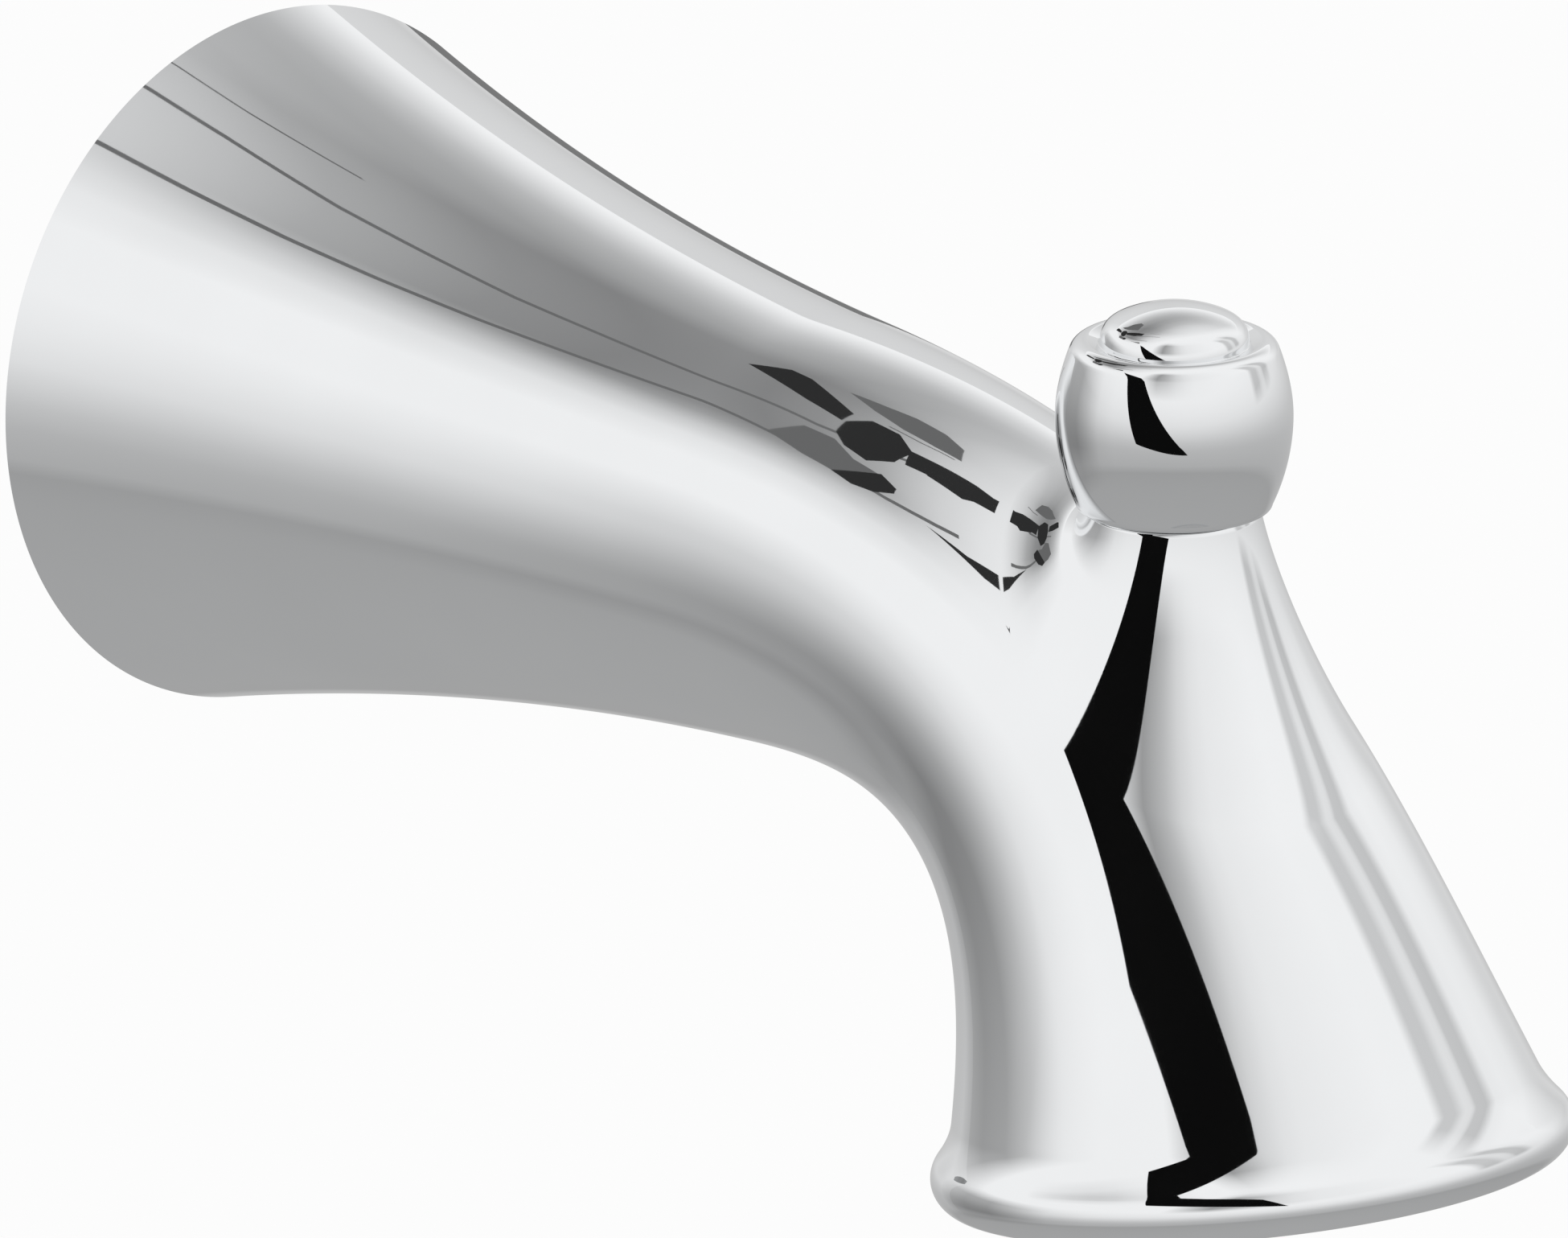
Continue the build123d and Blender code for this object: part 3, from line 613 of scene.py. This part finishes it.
def latheGroup():
    sockets = [("Segments", "Int"), ("Radius", "Float"), ("Place", "Vector"), ("Material", "Material")]
    group, given, result = newGroup("lathe", sockets)
    profile = addNode(group, "GeometryNodeMeshToCurve")
    path = addNode(group, "GeometryNodeCurvePrimitiveCircle")
    upright = addNode(group, "GeometryNodeSetCurveNormal", mode="Z_UP")
    sweep = addNode(group, "GeometryNodeCurveToMesh")
    weld = addNode(group, "GeometryNodeMergeByDistance", {"Distance": 1e-6})
    move = addNode(group, "GeometryNodeTransform")
    smooth = addNode(group, "GeometryNodeSetShadeSmooth")
    paint = addNode(group, "GeometryNodeSetMaterial")
    wire(group, (given["Geometry"], profile.inputs["Mesh"]), (given["Segments"], path.inputs["Resolution"]),
         (given["Radius"], path.inputs["Radius"]), (path.outputs["Curve"], upright.inputs["Curve"]),
         (upright.outputs["Curve"], sweep.inputs["Curve"]), (profile.outputs["Curve"], sweep.inputs["Profile Curve"]),
         (sweep.outputs["Mesh"], weld.inputs["Geometry"]), (weld.outputs["Geometry"], move.inputs["Geometry"]),
         (given["Place"], move.inputs["Translation"]), (move.outputs["Geometry"], smooth.inputs["Geometry"]),
         (smooth.outputs["Geometry"], paint.inputs["Geometry"]), (given["Material"], paint.inputs["Material"]),
         (paint.outputs["Geometry"], result["Geometry"]))
    return group


def threadGroup():
    sockets = [("Turns", "Float"), ("Length", "Float"), ("Radius", "Float"), ("Ridge", "Float"), ("Place", "Vector"),
               ("Material", "Material")]
    group, given, result = newGroup("thread", sockets)
    path = addNode(group, "GeometryNodeCurveSpiral", {"Resolution": 48})
    ridge = addNode(group, "GeometryNodeCurvePrimitiveCircle", {"Resolution": 4})
    sweep = addNode(group, "GeometryNodeCurveToMesh", {"Fill Caps": True})
    move = addNode(group, "GeometryNodeTransform")
    paint = addNode(group, "GeometryNodeSetMaterial")
    wire(group, (given["Turns"], path.inputs["Rotations"]), (given["Length"], path.inputs["Height"]),
         (given["Radius"], path.inputs["Start Radius"]), (given["Radius"], path.inputs["End Radius"]),
         (given["Ridge"], ridge.inputs["Radius"]), (path.outputs["Curve"], sweep.inputs["Curve"]),
         (ridge.outputs["Curve"], sweep.inputs["Profile Curve"]), (sweep.outputs["Mesh"], move.inputs["Geometry"]),
         (given["Place"], move.inputs["Translation"]), (move.outputs["Geometry"], paint.inputs["Geometry"]),
         (given["Material"], paint.inputs["Material"]), (paint.outputs["Geometry"], result["Geometry"]))
    return group


def runGroup(name, source, group, values):
    scene.collection.objects.link(source)
    modifier = source.modifiers.new("shape", "NODES")
    modifier.node_group = group
    for item in group.interface.items_tree:
        if item.in_out == "INPUT" and item.name in values:
            modifier[item.identifier] = values[item.name]
    mesh = bpy.data.meshes.new_from_object(source.evaluated_get(bpy.context.evaluated_depsgraph_get()))
    mesh.name = name
    bpy.data.objects.remove(source)
    piece = bpy.data.objects.new(name, mesh)
    scene.collection.objects.link(piece)
    return piece


def polyline(name, points):
    mesh = bpy.data.meshes.new(name)
    mesh.from_pydata(points, [(k, k + 1) for k in range(len(points) - 1)], [])
    return bpy.data.objects.new(name, mesh)


def finishPiece(piece, body, replaced=None):
    piece.data.set_sharp_from_angle(angle=sharpAngle)
    if replaced:
        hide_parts(replaced)
    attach(piece, body)


def bossPiece():
    maker = MeshMaker()
    turns = ringTurns(inside["bossSides"])
    ends = inside["bossStart"], inside["bossStart"] + inside["bossLength"]
    near, far = (maker.add(hoop(depth, inside["bossRadius"], turns), raw=1.0) for depth in ends)
    maker.strip(near, far)
    maker.faces += [tuple(near[::-1]), tuple(far)]
    # Rib from the boss out to the wall
    corners = []
    for depth in ends:
        limit = trumpetRadius(depth) - casting["wall"] / 2 - inside["bossCircle"]
        corners += [(length, -depth, hand * inside["rib"] / 2) for length in (0.0, limit) for hand in (-1, 1)]
    box = maker.add(np.array(corners), raw=1.0)
    for quad in ((0, 1, 3, 2), (4, 6, 7, 5), (0, 4, 5, 1), (2, 3, 7, 6), (0, 2, 6, 4), (1, 5, 7, 3)):
        maker.faces.append(tuple(box[k] for k in quad))
    source = maker.build("bossSource")
    scene.collection.objects.unlink(source)
    values = {"Count": inside["bosses"], "Circle": mm * inside["bossCircle"],
              "Turn": Euler((math.pi / 2, -math.pi / 2, 0)), "Material": finishes["chrome_plate"]}
    piece = runGroup("screwBosses", source, repeatGroup(), values)
    finishPiece(piece, "spout", "spout_body")


bossPiece()
print("stage: casting built")


# Diverter knob, in millimetres from the pipe axis


knob = {
    "base": 14.6, "footRadius": 9.6, "edge": 0.4, "bellyRadius": 11.55, "bellyHeight": 23.7, "shoulderRadius": 10.2,
    "shoulderHeight": 30.4, "footLean": 25.0, "shoulderLean": 20.0, "ridgeRadius": 8.5, "ridgeHeight": 31.4,
    "rollShare": (0.4, 0.8), "grooveRadius": 7.35, "grooveHeight": 31.0, "buttonRadius": 6.95, "buttonHeight": 32.5,
    "buttonSwell": 0.1, "capRadius": 5.6, "capHeight": 33.62, "topHeight": 34.85, "recessRadius": 7.2,
    "recessDepth": 0.8, "socketRadius": 2.05, "segments": 224, "soften": 0.14,
}
knobSteps = {
    "foot": 8, "belly": 28, "shoulder": 24, "roll": 16, "corner": 6, "wall": 10, "edge": 14, "dome": 24,
}


def hermite(start, end, leave, arrive, count):
    t = np.linspace(0, 1, count + 1)[1:, None]
    start, end = np.array(start), np.array(end)
    length = np.linalg.norm(end - start)
    leave, arrive = np.array(leave) * length, np.array(arrive) * length
    places = (2 * t**3 - 3 * t**2 + 1) * start + (3 * t**2 - 2 * t**3) * end
    return places + (t**3 - 2 * t**2 + t) * leave + (t**3 - t**2) * arrive


def arcThrough(start, middle, end, count):
    (ax, ay), (bx, by), (cx, cy) = start, middle, end
    a, b, c = (x**2 + y**2 for x, y in (start, middle, end))
    d = 2 * (ax * (by - cy) + bx * (cy - ay) + cx * (ay - by))
    ux = (a * (by - cy) + b * (cy - ay) + c * (ay - by)) / d
    uy = (a * (cx - bx) + b * (ax - cx) + c * (bx - ax)) / d
    first, last = math.atan2(ay - uy, ax - ux), math.atan2(cy - uy, cx - ux)
    turn = (last - first + math.pi) % (2 * math.pi) - math.pi
    angles = first + turn * np.linspace(0, 1, count + 1)[1:]
    radius = math.hypot(ax - ux, ay - uy)
    return np.stack((ux + radius * np.cos(angles), uy + radius * np.sin(angles)), -1)


def softCorner(before, corner, after):
    # Small round at a corner of a profile
    before, corner, after = (np.array(p, float) for p in (before, corner, after))
    one = corner + unit(before - corner) * knob["soften"]
    two = corner + unit(after - corner) * knob["soften"]
    t = np.linspace(0, 1, knobSteps["corner"] + 1)[:, None]
    return (1 - t) ** 2 * one + 2 * t * (1 - t) * corner + t**2 * two


def knobProfile():
    k, steps = knob, knobSteps
    roof = k["base"] + k["recessDepth"]
    cut = k["edge"] * (1 - math.sqrt(0.5))
    footInner = (k["footRadius"] - k["edge"], k["base"])
    footMiddle = (k["footRadius"] - cut, k["base"] + cut)
    foot = (k["footRadius"], k["base"] + k["edge"])
    belly, shoulder = (k["bellyRadius"], k["bellyHeight"]), (k["shoulderRadius"], k["shoulderHeight"])
    ridge, groove = (k["ridgeRadius"], k["ridgeHeight"]), (k["grooveRadius"], k["grooveHeight"])
    roll = tuple(a + (b - a) * share for a, b, share in zip(shoulder, ridge, k["rollShare"]))
    button, cap = (k["buttonRadius"], k["buttonHeight"]), (k["capRadius"], k["capHeight"])
    bulge = ((groove[0] + button[0]) / 2 + k["buttonSwell"], (groove[1] + button[1]) / 2)
    footLean, shoulderLean = math.radians(k["footLean"]), math.radians(k["shoulderLean"])
    rolled = arcThrough(shoulder, roll, ridge, steps["roll"])
    wall = arcThrough(groove, bulge, button, steps["wall"])
    # The button's edge leaves along its wall and meets the dome without a crease
    rise = k["topHeight"] - cap[1]
    dome = (cap[0] ** 2 + rise**2) / (2 * rise)
    half = math.asin(cap[0] / dome)
    turns = half * (1 - np.linspace(0, 1, steps["dome"] + 1)[1:])
    parts = [
        np.array([(k["socketRadius"], roof), (k["recessRadius"], roof), (k["recessRadius"], k["base"]), footInner]),
        arcThrough(footInner, footMiddle, foot, steps["foot"]),
        hermite(foot, belly, (math.sin(footLean), math.cos(footLean)), (0.0, 1.0), steps["belly"]),
        hermite(belly, shoulder, (0.0, 1.0), (-math.sin(shoulderLean), math.cos(shoulderLean)), steps["shoulder"]),
        rolled[:-2], softCorner(rolled[-3], ridge, groove), softCorner(ridge, groove, wall[1]), wall[1:],
        hermite(button, cap, unit(wall[-1] - wall[-2]), (-math.cos(half), math.sin(half)), steps["edge"]),
        np.stack((dome * np.sin(turns), k["topHeight"] - dome * (1 - np.cos(turns))), -1),
    ]
    return np.concatenate(parts)


def knobPiece():
    middle = 0.5 * knob["bellyRadius"]
    points = [(mm * (r - middle), -mm * h, 0.0) for r, h in knobProfile()]
    values = {"Segments": knob["segments"], "Radius": mm * middle, "Place": (0.0, -mm * neck["reach"], 0.0),
              "Material": finishes["chrome_plate"]}
    piece = runGroup("diverterKnobTurned", polyline("knobProfile", points), latheGroup(), values)
    finishPiece(piece, "diverter", "diverter_knob")


knobPiece()
print("stage: knob built")


# Thread on the rod's tail below the nut


thread = {"turns": 4.0, "length": 2.6, "radius": 1.98, "ridge": 0.2, "foot": 0.2}


def threadPiece():
    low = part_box("lift_rod")[0]
    values = {"Turns": thread["turns"], "Length": mm * thread["length"], "Radius": mm * thread["radius"],
              "Ridge": mm * thread["ridge"], "Place": (0.0, -mm * neck["reach"], low[2] + mm * thread["foot"]),
              "Material": finishes["steel"]}
    piece = runGroup("rodThread", polyline("threadPath", [(0.0, 0.0, 0.0)]), threadGroup(), values)
    finishPiece(piece, "diverter")


threadPiece()
print("stage: thread built")


# Camera


view = {
    "azimuth": -42.05, "elevation": 17.43, "width": 0.1532, "target": (0.0, -0.0754, -0.0101), "distance": 5.0,
    "sensor": 36.0, "clip": (0.01, 1000.0),
}


def makeCamera():
    turn, rise = math.radians(view["azimuth"]), math.radians(view["elevation"])
    toward = Vector((math.sin(turn) * math.cos(rise), -math.cos(turn) * math.cos(rise), math.sin(rise)))
    data = bpy.data.cameras.new("photoCamera")
    data.sensor_width = view["sensor"]
    data.lens = view["sensor"] * view["distance"] / view["width"]
    data.clip_start, data.clip_end = view["clip"]
    camera = bpy.data.objects.new("photoCamera", data)
    camera.location = Vector(view["target"]) + toward * view["distance"]
    camera.rotation_euler = toward.to_track_quat("Z", "Y").to_euler()
    scene.collection.objects.link(camera)
    scene.camera = camera


makeCamera()


# Studio: white tent, grey ceiling panel with joints, black flag beside the camera, lamp arm over the spout


studio = {
    "backdrop": 0.975, "floorHeight": -0.30, "floorSize": 6.0, "floorGlow": 0.9, "floorTone": 0.8, "floorRough": 0.9,
    # Tone of the tent by elevation in degrees
    "lift": [(-90, 0.42), (-40, 0.40), (-31, 0.385), (-27, 0.47), (-18.5, 0.525), (-12, 0.615), (-6, 0.735),
             (0, 0.85), (6, 0.915), (12, 0.96), (20, 1.0), (90, 1.0)],
    # Shades by azimuth in degrees, each inside its window of levels: 0 straight down, 1 straight up
    "shade": [(-180, 1.0), (-80, 1.0), (-62, 0.36), (-50, 0.54), (-40, 0.74), (-30, 0.86), (-20, 0.92), (0, 0.96),
              (25, 1.0), (180, 1.0)],
    "stripes": [(-180, 1.0), (44, 1.0), (49, 0.66), (55, 0.66), (60, 0.86), (64, 0.84), (66, 0.64), (72, 0.62),
                (77, 0.95), (85, 1.0), (180, 1.0)],
    "corner": [(-180, 0.66), (-168, 0.5), (-152, 0.48), (-138, 0.66), (-122, 0.93), (-105, 1.0), (170, 1.0),
               (180, 0.75)],
    "far": [(-180, 1.0), (95, 1.0), (115, 0.8), (140, 0.72), (160, 0.8), (180, 1.0)],
    "windows": {
        "shade": [(0.62, 0.0), (0.71, 1.0), (0.92, 1.0), (0.985, 0.0)],
        "stripes": [(0.5, 0.0), (0.55, 1.0), (0.81, 1.0), (0.9, 0.0)],
        "corner": [(0.2, 0.0), (0.32, 1.0), (0.54, 1.0), (0.66, 0.0)],
        "far": [(0.44, 0.0), (0.5, 1.0), (0.75, 1.0), (0.85, 0.0)],
    },
    # Panel's sizes and joints as shares of its height
    "ceiling": 4.0, "panelSpan": (-1.5, 2.5), "panelReach": 1.6, "jointDrop": 0.02, "jointTone": 0.16,
    "panelDepth": [(0.0, 1.0), (0.12, 0.88), (0.20, 0.72), (0.25, 0.58), (0.29, 0.45), (0.37, 0.31), (0.44, 0.26),
                   (0.55, 0.32), (0.68, 0.5), (0.95, 1.0)],
    "panelSide": [(0.08, 1.0), (0.17, 0.82), (0.215, 0.5), (0.25, 0.12), (0.27, 0.0), (0.44, 0.0), (0.48, 0.14),
                  (0.52, 0.22), (0.58, 0.32), (0.68, 0.55), (0.9, 0.86), (1.0, 1.0)],
    "joints": [
        (0.022, [(0.01, 0.25), (-0.04, 0.35), (-0.07, 0.40), (-0.13, 0.47), (-0.15, 0.53), (-0.17, 0.60),
                 (-0.16, 0.66), (-0.15, 0.76), (-0.13, 0.95)]),
        (0.028, [(-0.40, 0.26), (-0.44, 0.33), (-0.47, 0.40), (-0.49, 0.47), (-0.49, 0.54), (-0.47, 0.62),
                 (-0.43, 0.70), (-0.38, 0.80), (-0.31, 0.95)]),
        (0.009, [(0.16, 0.36), (0.15, 0.39), (0.13, 0.43), (0.12, 0.50)]),
    ],
    # Flags and arm in millimetres
    "flagTone": 0.004, "flag": [(-83, -151, 6), (-66, -247, -22), (-52, -199, 5), (-101, -105, 112)],
    "edgeTone": 0.2, "edge": [(200, 105, -44), (200, 330, -44), (200, 330, 9), (200, 105, 9)],
    "armTone": 0.03, "armHeight": 100,
    "arm": [
        [(2, -16), (12, -24), (11, -30), (-3, -47), (-13, -46), (-9, -35)],
        [(-24, -46), (-12, -47), (-1, -52), (0, -60), (-9, -67), (-24, -64), (-35, -56), (-32, -49)],
        [(-8, -66), (-4, -78), (-2, -86), (-2, -92), (-12, -92), (-14, -90), (-19, -86), (-19, -74)],
        [(-6, -85), (-1, -94), (-6, -90), (-8, -66), (-21, -67), (-13, -88), (-12, -96), (-16, -87)],
        [(-59, -43), (-39, -61), (-44, -66), (-49, -65), (-58, -57), (-62, -49)],
        [(-58, -76), (-59, -92), (-54, -105), (-65, -106), (-66, -99)],
    ],
    "hazeTone": 0.15, "hazeHeight": 102,
    "haze": [
        [(15, -38), (19, -48), (23, -55), (24, -64), (20, -72), (9, -76), (7, -68), (6, -58), (9, -48)],
        [(-51, -24), (-58, -33), (-60, -43), (-41, -59), (-40, -51), (-31, -45), (-32, -36)],
    ],
}


def splitAxes(tree, kind):
    coords = addNode(tree, "ShaderNodeTexCoord")
    split = addNode(tree, "ShaderNodeSeparateXYZ")
    wire(tree, (coords.outputs[kind], split.inputs[0]))
    return split.outputs


def makeWorld():
    world = bpy.data.worlds.new("tent")
    scene.world = world
    world.use_nodes = True
    tree = world.node_tree
    x, y, z = splitAxes(tree, "Generated")
    level = mathNode(tree, "MULTIPLY_ADD", z, 0.5, 0.5)
    azimuth = mathNode(tree, "ARCTAN2", x, mathNode(tree, "MULTIPLY", y, -1.0))
    share = mathNode(tree, "MULTIPLY_ADD", azimuth, 0.5 / math.pi, 0.5)
    lift = [((math.sin(math.radians(rise)) + 1) / 2, value) for rise, value in studio["lift"]]
    tone = rampNode(tree, level, lift)
    for name, window in studio["windows"].items():
        shade = rampNode(tree, share, [((turn + 180) / 360, value) for turn, value in studio[name]])
        tone = mixNode(tree, rampNode(tree, level, window), tone, shade, "MULTIPLY")
    seen = addNode(tree, "ShaderNodeLightPath").outputs["Is Camera Ray"]
    tone = mixNode(tree, seen, tone, (studio["backdrop"],) * 3)
    wire(tree, (tone, tree.nodes["Background"].inputs["Color"]))


def emitMaterial(name, tone):
    mat = bpy.data.materials.new(name)
    mat.use_nodes = True
    tree = mat.node_tree
    tree.nodes.clear()
    out = addNode(tree, "ShaderNodeOutputMaterial")
    glow = addNode(tree, "ShaderNodeEmission", {"Color": (tone, tone, tone, 1.0)})
    wire(tree, (glow.outputs[0], out.inputs["Surface"]))
    return mat


def ceilingMaterial():
    mat = emitMaterial("ceilingPanel", 0.5)
    tree = mat.node_tree
    x, y, _ = splitAxes(tree, "Object")
    high = studio["ceiling"]
    left, right = studio["panelSpan"]
    along = mathNode(tree, "MULTIPLY", y, 1 / (studio["panelReach"] * high))
    across = mathNode(tree, "MULTIPLY_ADD", x, 1 / ((right - left) * high), -left / (right - left))
    depth = rampNode(tree, along, studio["panelDepth"])
    side = rampNode(tree, across, studio["panelSide"])
    tone = mixNode(tree, side, depth, (1.0, 1.0, 1.0))
    wire(tree, (tone, tree.nodes["Emission"].inputs["Color"]))
    return mat


def makeCard(name, points, faces, mat):
    mesh = bpy.data.meshes.new(name)
    mesh.from_pydata(points, [], faces)
    card = bpy.data.objects.new(name, mesh)
    card.data.materials.append(mat)
    scene.collection.objects.link(card)
    for ray in ("camera", "diffuse", "shadow", "transmission"):
        setattr(card, "visible_" + ray, False)


def makeCards():
    high, reach = studio["ceiling"], studio["panelReach"]
    left, right = studio["panelSpan"]
    corners = [(left, 0.0), (right, 0.0), (right, reach), (left, reach)]
    makeCard("ceilingPanel", [(high * a, high * b, high) for a, b in corners], [(0, 1, 2, 3)], ceilingMaterial())
    points, faces = [], []
    for width, path in studio["joints"]:
        first = len(points)
        for a, b in path:
            points += [(high * (a + w), high * b, high - studio["jointDrop"]) for w in (-width / 2, width / 2)]
        faces += [(k, k + 1, k + 3, k + 2) for k in range(first, len(points) - 2, 2)]
    makeCard("panelJoints", points, faces, emitMaterial("panelJoint", studio["jointTone"]))
    flag = mm * np.array(studio["flag"])
    points = [tuple(p) for p in (*flag, flag.mean(0))]
    fan = [(k, (k + 1) % len(flag), len(flag)) for k in range(len(flag))]
    makeCard("blackFlag", points, fan, emitMaterial("blackFlag", studio["flagTone"]))
    edge = [tuple(mm * v for v in p) for p in studio["edge"]]
    makeCard("edgeFlag", edge, [(0, 1, 2, 3)], emitMaterial("edgeFlag", studio["edgeTone"]))
    for name in ("arm", "haze"):
        points, faces = [], []
        for shape in studio[name]:
            faces.append(tuple(range(len(points), len(points) + len(shape))))
            points += [(mm * a, mm * b, mm * studio[name + "Height"]) for a, b in shape]
        makeCard(name + "Card", points, faces, emitMaterial(name + "Card", studio[name + "Tone"]))


def floorMaterial():
    # Near white to the camera, clear from below
    mat, tree, shader = newMaterial("paleFloor")
    shader.inputs["Base Color"].default_value = (*(studio["floorTone"],) * 3, 1.0)
    shader.inputs["Roughness"].default_value = studio["floorRough"]
    glow = addNode(tree, "ShaderNodeEmission", {"Color": (1.0, 1.0, 1.0, 1.0)})
    seen = addNode(tree, "ShaderNodeLightPath").outputs["Is Camera Ray"]
    under = addNode(tree, "ShaderNodeNewGeometry").outputs["Backfacing"]
    clear = addNode(tree, "ShaderNodeBsdfTransparent")
    above = addNode(tree, "ShaderNodeMixShader")
    both = addNode(tree, "ShaderNodeMixShader")
    wire(tree, (mathNode(tree, "MULTIPLY", seen, studio["floorGlow"]), above.inputs[0]),
         (shader.outputs[0], above.inputs[1]), (glow.outputs[0], above.inputs[2]),
         (under, both.inputs[0]), (above.outputs[0], both.inputs[1]), (clear.outputs[0], both.inputs[2]),
         (both.outputs[0], tree.nodes["Material Output"].inputs["Surface"]))
    return mat


def makeFloor():
    size, low = studio["floorSize"], studio["floorHeight"]
    corners = [(-size, -size, low), (size, -size, low), (size, size, low), (-size, size, low)]
    mesh = bpy.data.meshes.new("floor")
    mesh.from_pydata(corners, [], [(0, 1, 2, 3)])
    mesh.materials.append(floorMaterial())
    floor = bpy.data.objects.new("floor", mesh)
    floor.visible_glossy = False
    scene.collection.objects.link(floor)


makeWorld()
makeFloor()
makeCards()
scene.view_settings.view_transform = "Standard"
print("stage: studio set")
